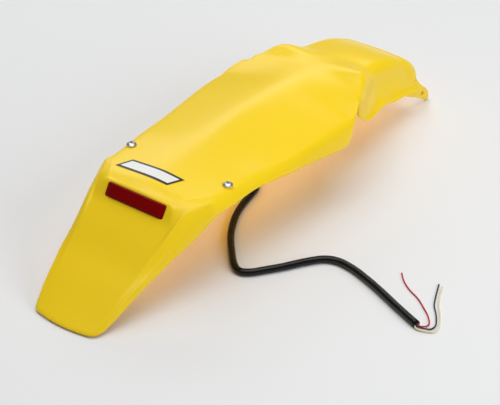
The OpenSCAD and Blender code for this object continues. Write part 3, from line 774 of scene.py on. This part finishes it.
# The profile starts and ends at the grommet's mouth: its two end faces become one ring.
bm = bmesh.new()
bm.from_mesh(grommet.data)
ends = [f for f in bm.faces if len(f.verts) > 4]
rings = [sorted(f.verts, key=lambda v: v.index) for f in ends]
bmesh.ops.delete(bm, geom=ends, context="FACES")
for a in range(gland_sides):
    b = (a + 1) % gland_sides
    bm.faces.new((rings[0][a], rings[0][b], rings[1][b], rings[1][a]))
bmesh.ops.recalc_face_normals(bm, faces=bm.faces)
bm.to_mesh(grommet.data)
bm.free()
soften(grommet, 35)
grommet_rubber, tree, shader = plain_shader("grommet_rubber", (0.02, 0.02, 0.02), 0.7)
place = grain(tree, shader, 800, 0.3, 0.0003)
mottle(tree, shader, place, 150, (0.015, 0.015, 0.015), (0.028, 0.028, 0.028), 0.6, 0.8)
grommet.data.materials.append(grommet_rubber)
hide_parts("cable_grommet")
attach(grommet, "root")

# Top screws, washers and nuts
# Two plated M6 pan-head screws with a cross recess. Each goes down through the shell's
# boss and the housing's ear into a washer and a lock nut.
screw_r, screw_length, head_h = 3.0, 25.0, 4.08
pitch, thread_depth, plain_shank, thread_fade = 1.0, 0.30, 3.0, 1.5
shank_top, shank_short = 0.2, 1.2
point_length, point_fade, sides = 0.2, 0.8, 48
head = [(0.5, head_h), (1.8, head_h - 0.08), (3.3, head_h - 0.38), (4.6, head_h - 0.95),
        (5.5, head_h - 1.8), (5.9, 1.9), (6.0, 1.3), (5.95, 0.35), (5.7, 0.1), (screw_r, 0.1)]
thread_steps = int(screw_length * 8)
screw = bmesh.new()
rings = lathe_rings(on_screw(-1), head, sides)
for i in range(thread_steps + 1):
    d = -shank_top - (screw_length - shank_short) * i / thread_steps
    fade = min(1.0, max(0.0, (-d - plain_shank) / thread_fade),
               max(0.0, (screw_length - point_length + d) / point_fade))
    ring = []
    for k in range(sides):
        w = 2 * math.pi * k / sides
        wave = abs(((d / pitch - k / sides) % 1.0) * 2 - 1)
        r = screw_r - thread_depth * wave * fade
        ring.append(on_screw(-1)(r * math.cos(w), r * math.sin(w), d))
    rings.append(ring)
rings += lathe_rings(on_screw(-1), [(screw_r - 0.6, -screw_length)], sides)
add_prism(screw, rings)
screws = solid_from("screw_pair", screw)
# Each bar of the cross has half a width, half a length and a height at its three levels.
cross_bar = [(0.40, 1.3, head_h - 2.6), (0.80, 2.9, head_h - 0.9), (0.95, 3.6, head_h + 1)]
cross = bmesh.new()
for turn in (math.radians(45), math.radians(135)):
    bar = []
    for half_w, half_l, d in cross_bar:
        corners = [(-half_l, -half_w), (half_l, -half_w), (half_l, half_w), (-half_l, half_w)]
        bar.append([on_screw(-1)(x * math.cos(turn) - y * math.sin(turn),
                                 x * math.sin(turn) + y * math.cos(turn), d)
                    for x, y in corners])
    add_prism(cross, bar)
cross = solid_from("recess_cut", cross)
step = screws.modifiers.new("recess", "BOOLEAN")
step.operation, step.object, step.solver, step.use_self = "DIFFERENCE", cross, "EXACT", True
bake_modifiers(screws)
bpy.data.objects.remove(cross)
plated_steel, tree, shader = plain_shader("plated_steel", (0.62, 0.62, 0.60), 0.28)
shader.inputs["Metallic"].default_value = 1.0
place = grain(tree, shader, 1400, 0.15, 0.0002)
mottle(tree, shader, place, 250, (0.56, 0.56, 0.54), (0.70, 0.70, 0.68), 0.26, 0.40)
row_of(screws, 2, (0, 0, 0), (2 * screw_x * MM, 0, 0), plated_steel)
soften(screws, 30)
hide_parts("top_screws")
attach(screws, "root")

for node, name, width in (("washers", "washer_pair", 0.00025), ("lock_nuts", "nut_pair", 0.0003)):
    piece = rounded_copy(node, name, width)
    piece.data.materials.clear()
    piece.data.materials.append(plated_steel)
    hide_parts(node)
    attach(piece, "root")

# Label
# A plain white vinyl label with a thin dark border, stuck on the body ahead of the ridge.
# Its ends slant, and it follows the body's crown.
label_width, label_depth, label_slant, label_x = 76, 20.5, 9, -13
label_station, label_lift, label_thick = ridge + 31, 0.5, 0.3
label_border, border_color, vinyl_color = 3.2, (0.018, 0.013, 0.010), (0.80, 0.80, 0.78)
across_steps, along_steps = 48, 14
bm = bmesh.new()
uv = bm.loops.layers.uv.new("label")
layers, place_on = [], {}
for lift in (label_lift - label_thick, label_lift):
    sheet = []
    for j in range(along_steps + 1):
        b = j / along_steps - 0.5
        line = []
        for i in range(across_steps + 1):
            x = label_x + label_width * (i / across_steps - 0.5) + label_slant * b
            s = label_station + label_depth * b
            vert = bm.verts.new(Vector((x, s - half_length, body_z(s, x) + lift)) * MM)
            place_on[vert] = (i / across_steps, j / along_steps)
            line.append(vert)
        sheet.append(line)
    layers.append(sheet)
low, high = layers
for j in range(along_steps):
    for i in range(across_steps):
        bm.faces.new((high[j][i], high[j][i + 1], high[j + 1][i + 1], high[j + 1][i]))
        bm.faces.new((low[j][i], low[j + 1][i], low[j + 1][i + 1], low[j][i + 1]))
outline = ([(0, i) for i in range(across_steps)] + [(j, across_steps) for j in range(along_steps)]
           + [(along_steps, i) for i in range(across_steps, 0, -1)]
           + [(j, 0) for j in range(along_steps, 0, -1)])
for (j, i), (j2, i2) in zip(outline, outline[1:] + outline[:1]):
    bm.faces.new((low[j][i], low[j2][i2], high[j2][i2], high[j][i]))
for face in bm.faces:
    for loop in face.loops:
        loop[uv].uv = place_on[loop.vert]
sticker = solid_from("sticker", bm)
soften(sticker, 40)
label_vinyl, tree, shader = plain_shader("label_vinyl", vinyl_color, 0.32)
place = grain(tree, shader, 600, 0.06, 0.0001)
shader.inputs["Specular IOR Level"].default_value = 0.3
apart = tree.nodes.new("ShaderNodeSeparateXYZ")
tree.links.new(place.outputs["UV"], apart.inputs["Vector"])


def math_node(operation, a, b):
    """A Math node in the label's tree; a and b are sockets or numbers."""
    node = tree.nodes.new("ShaderNodeMath")
    node.operation = operation
    for socket, value in zip(node.inputs, (a, b)):
        if isinstance(value, (int, float)):
            socket.default_value = value
        else:
            tree.links.new(value, socket)
    return node.outputs[0]


def from_edge(position, span):
    """Distance from the nearer of two opposite edges, in millimetres."""
    middle = math_node("ABSOLUTE", math_node("SUBTRACT", position, 0.5), 0)
    return math_node("MULTIPLY", math_node("SUBTRACT", 0.5, middle), span)


nearest = math_node("MINIMUM", from_edge(apart.outputs["X"], label_width),
                    from_edge(apart.outputs["Y"], label_depth))
inside = math_node("GREATER_THAN", nearest, label_border)
paint = tree.nodes.new("ShaderNodeMix")
paint.data_type = "RGBA"
paint.inputs[6].default_value = (*border_color, 1)
paint.inputs[7].default_value = (*vinyl_color, 1)
tree.links.new(inside, paint.inputs[0])
tree.links.new(paint.outputs[2], shader.inputs["Base Color"])
sticker.data.materials.append(label_vinyl)
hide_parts("label")
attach(sticker, "root")

# Ground and light
# A pale seamless ground under a large overhead lamp, with a card on the right and one
# behind. A small lamp picks out the lip above the lens, and a warm one stands for the
# light that the yellow shell lets through.
floor_mesh = bpy.data.meshes.new("ground")
floor_mesh.from_pydata([(-6, -6, 0), (6, -6, 0), (6, 6, 0), (-6, 6, 0)], [], [(0, 1, 2, 3)])
floor = bpy.data.objects.new("ground", floor_mesh)
bpy.context.scene.collection.objects.link(floor)
ground_paint, tree, shader = plain_shader("ground_paint", (0.80, 0.805, 0.81), 0.9)
shader.inputs["Specular IOR Level"].default_value = 0.1
floor.data.materials.append(ground_paint)


def soft_lamp(name, place, aim, size, power, depth=None):
    """An area lamp, square or with its own depth, in metres and watts."""
    lamp_data = bpy.data.lights.new(name, "AREA")
    lamp_data.shape = "SQUARE"
    lamp_data.size = size
    if depth:
        lamp_data.shape = "RECTANGLE"
        lamp_data.size_y = depth
    lamp_data.energy = power
    lamp = bpy.data.objects.new(name, lamp_data)
    lamp.location = place
    lamp.rotation_euler = (Vector(aim) - Vector(place)).to_track_quat("-Z", "Y").to_euler()
    bpy.context.scene.collection.objects.link(lamp)
    return lamp


soft_lamp("overhead", (0.1, 0.05, 3.4), (0.0, 0.0, 0.0), 3.2, 81)
soft_lamp("lip_light", (-1.25, 0.54, 2.15), (0.0, -0.19, 0.11), 0.35, 3.5)
right_card = soft_lamp("right_card", (2.2, 0.2, 1.2), (0.0, 0.0, 0.05), 1.4, 22)
right_card.visible_glossy = False
soft_lamp("back_card", (-1.8, 2.1, 1.65), (0.0, 0.0, 0.1), 2.6, 18, 0.6)
through = soft_lamp("light_through_shell", (0.0, 0.03, 0.045), (0.0, 0.03, 0.0), 0.09, 0.11,
                    0.56)
through.data.color = (1.0, 0.40, 0.05)
through.visible_camera = through.visible_glossy = False
world = bpy.data.worlds.new("room")
bpy.context.scene.world = world
world.use_nodes = True
background = world.node_tree.nodes["Background"]
background.inputs["Color"].default_value = (1, 1, 1, 1)
background.inputs["Strength"].default_value = 0.18
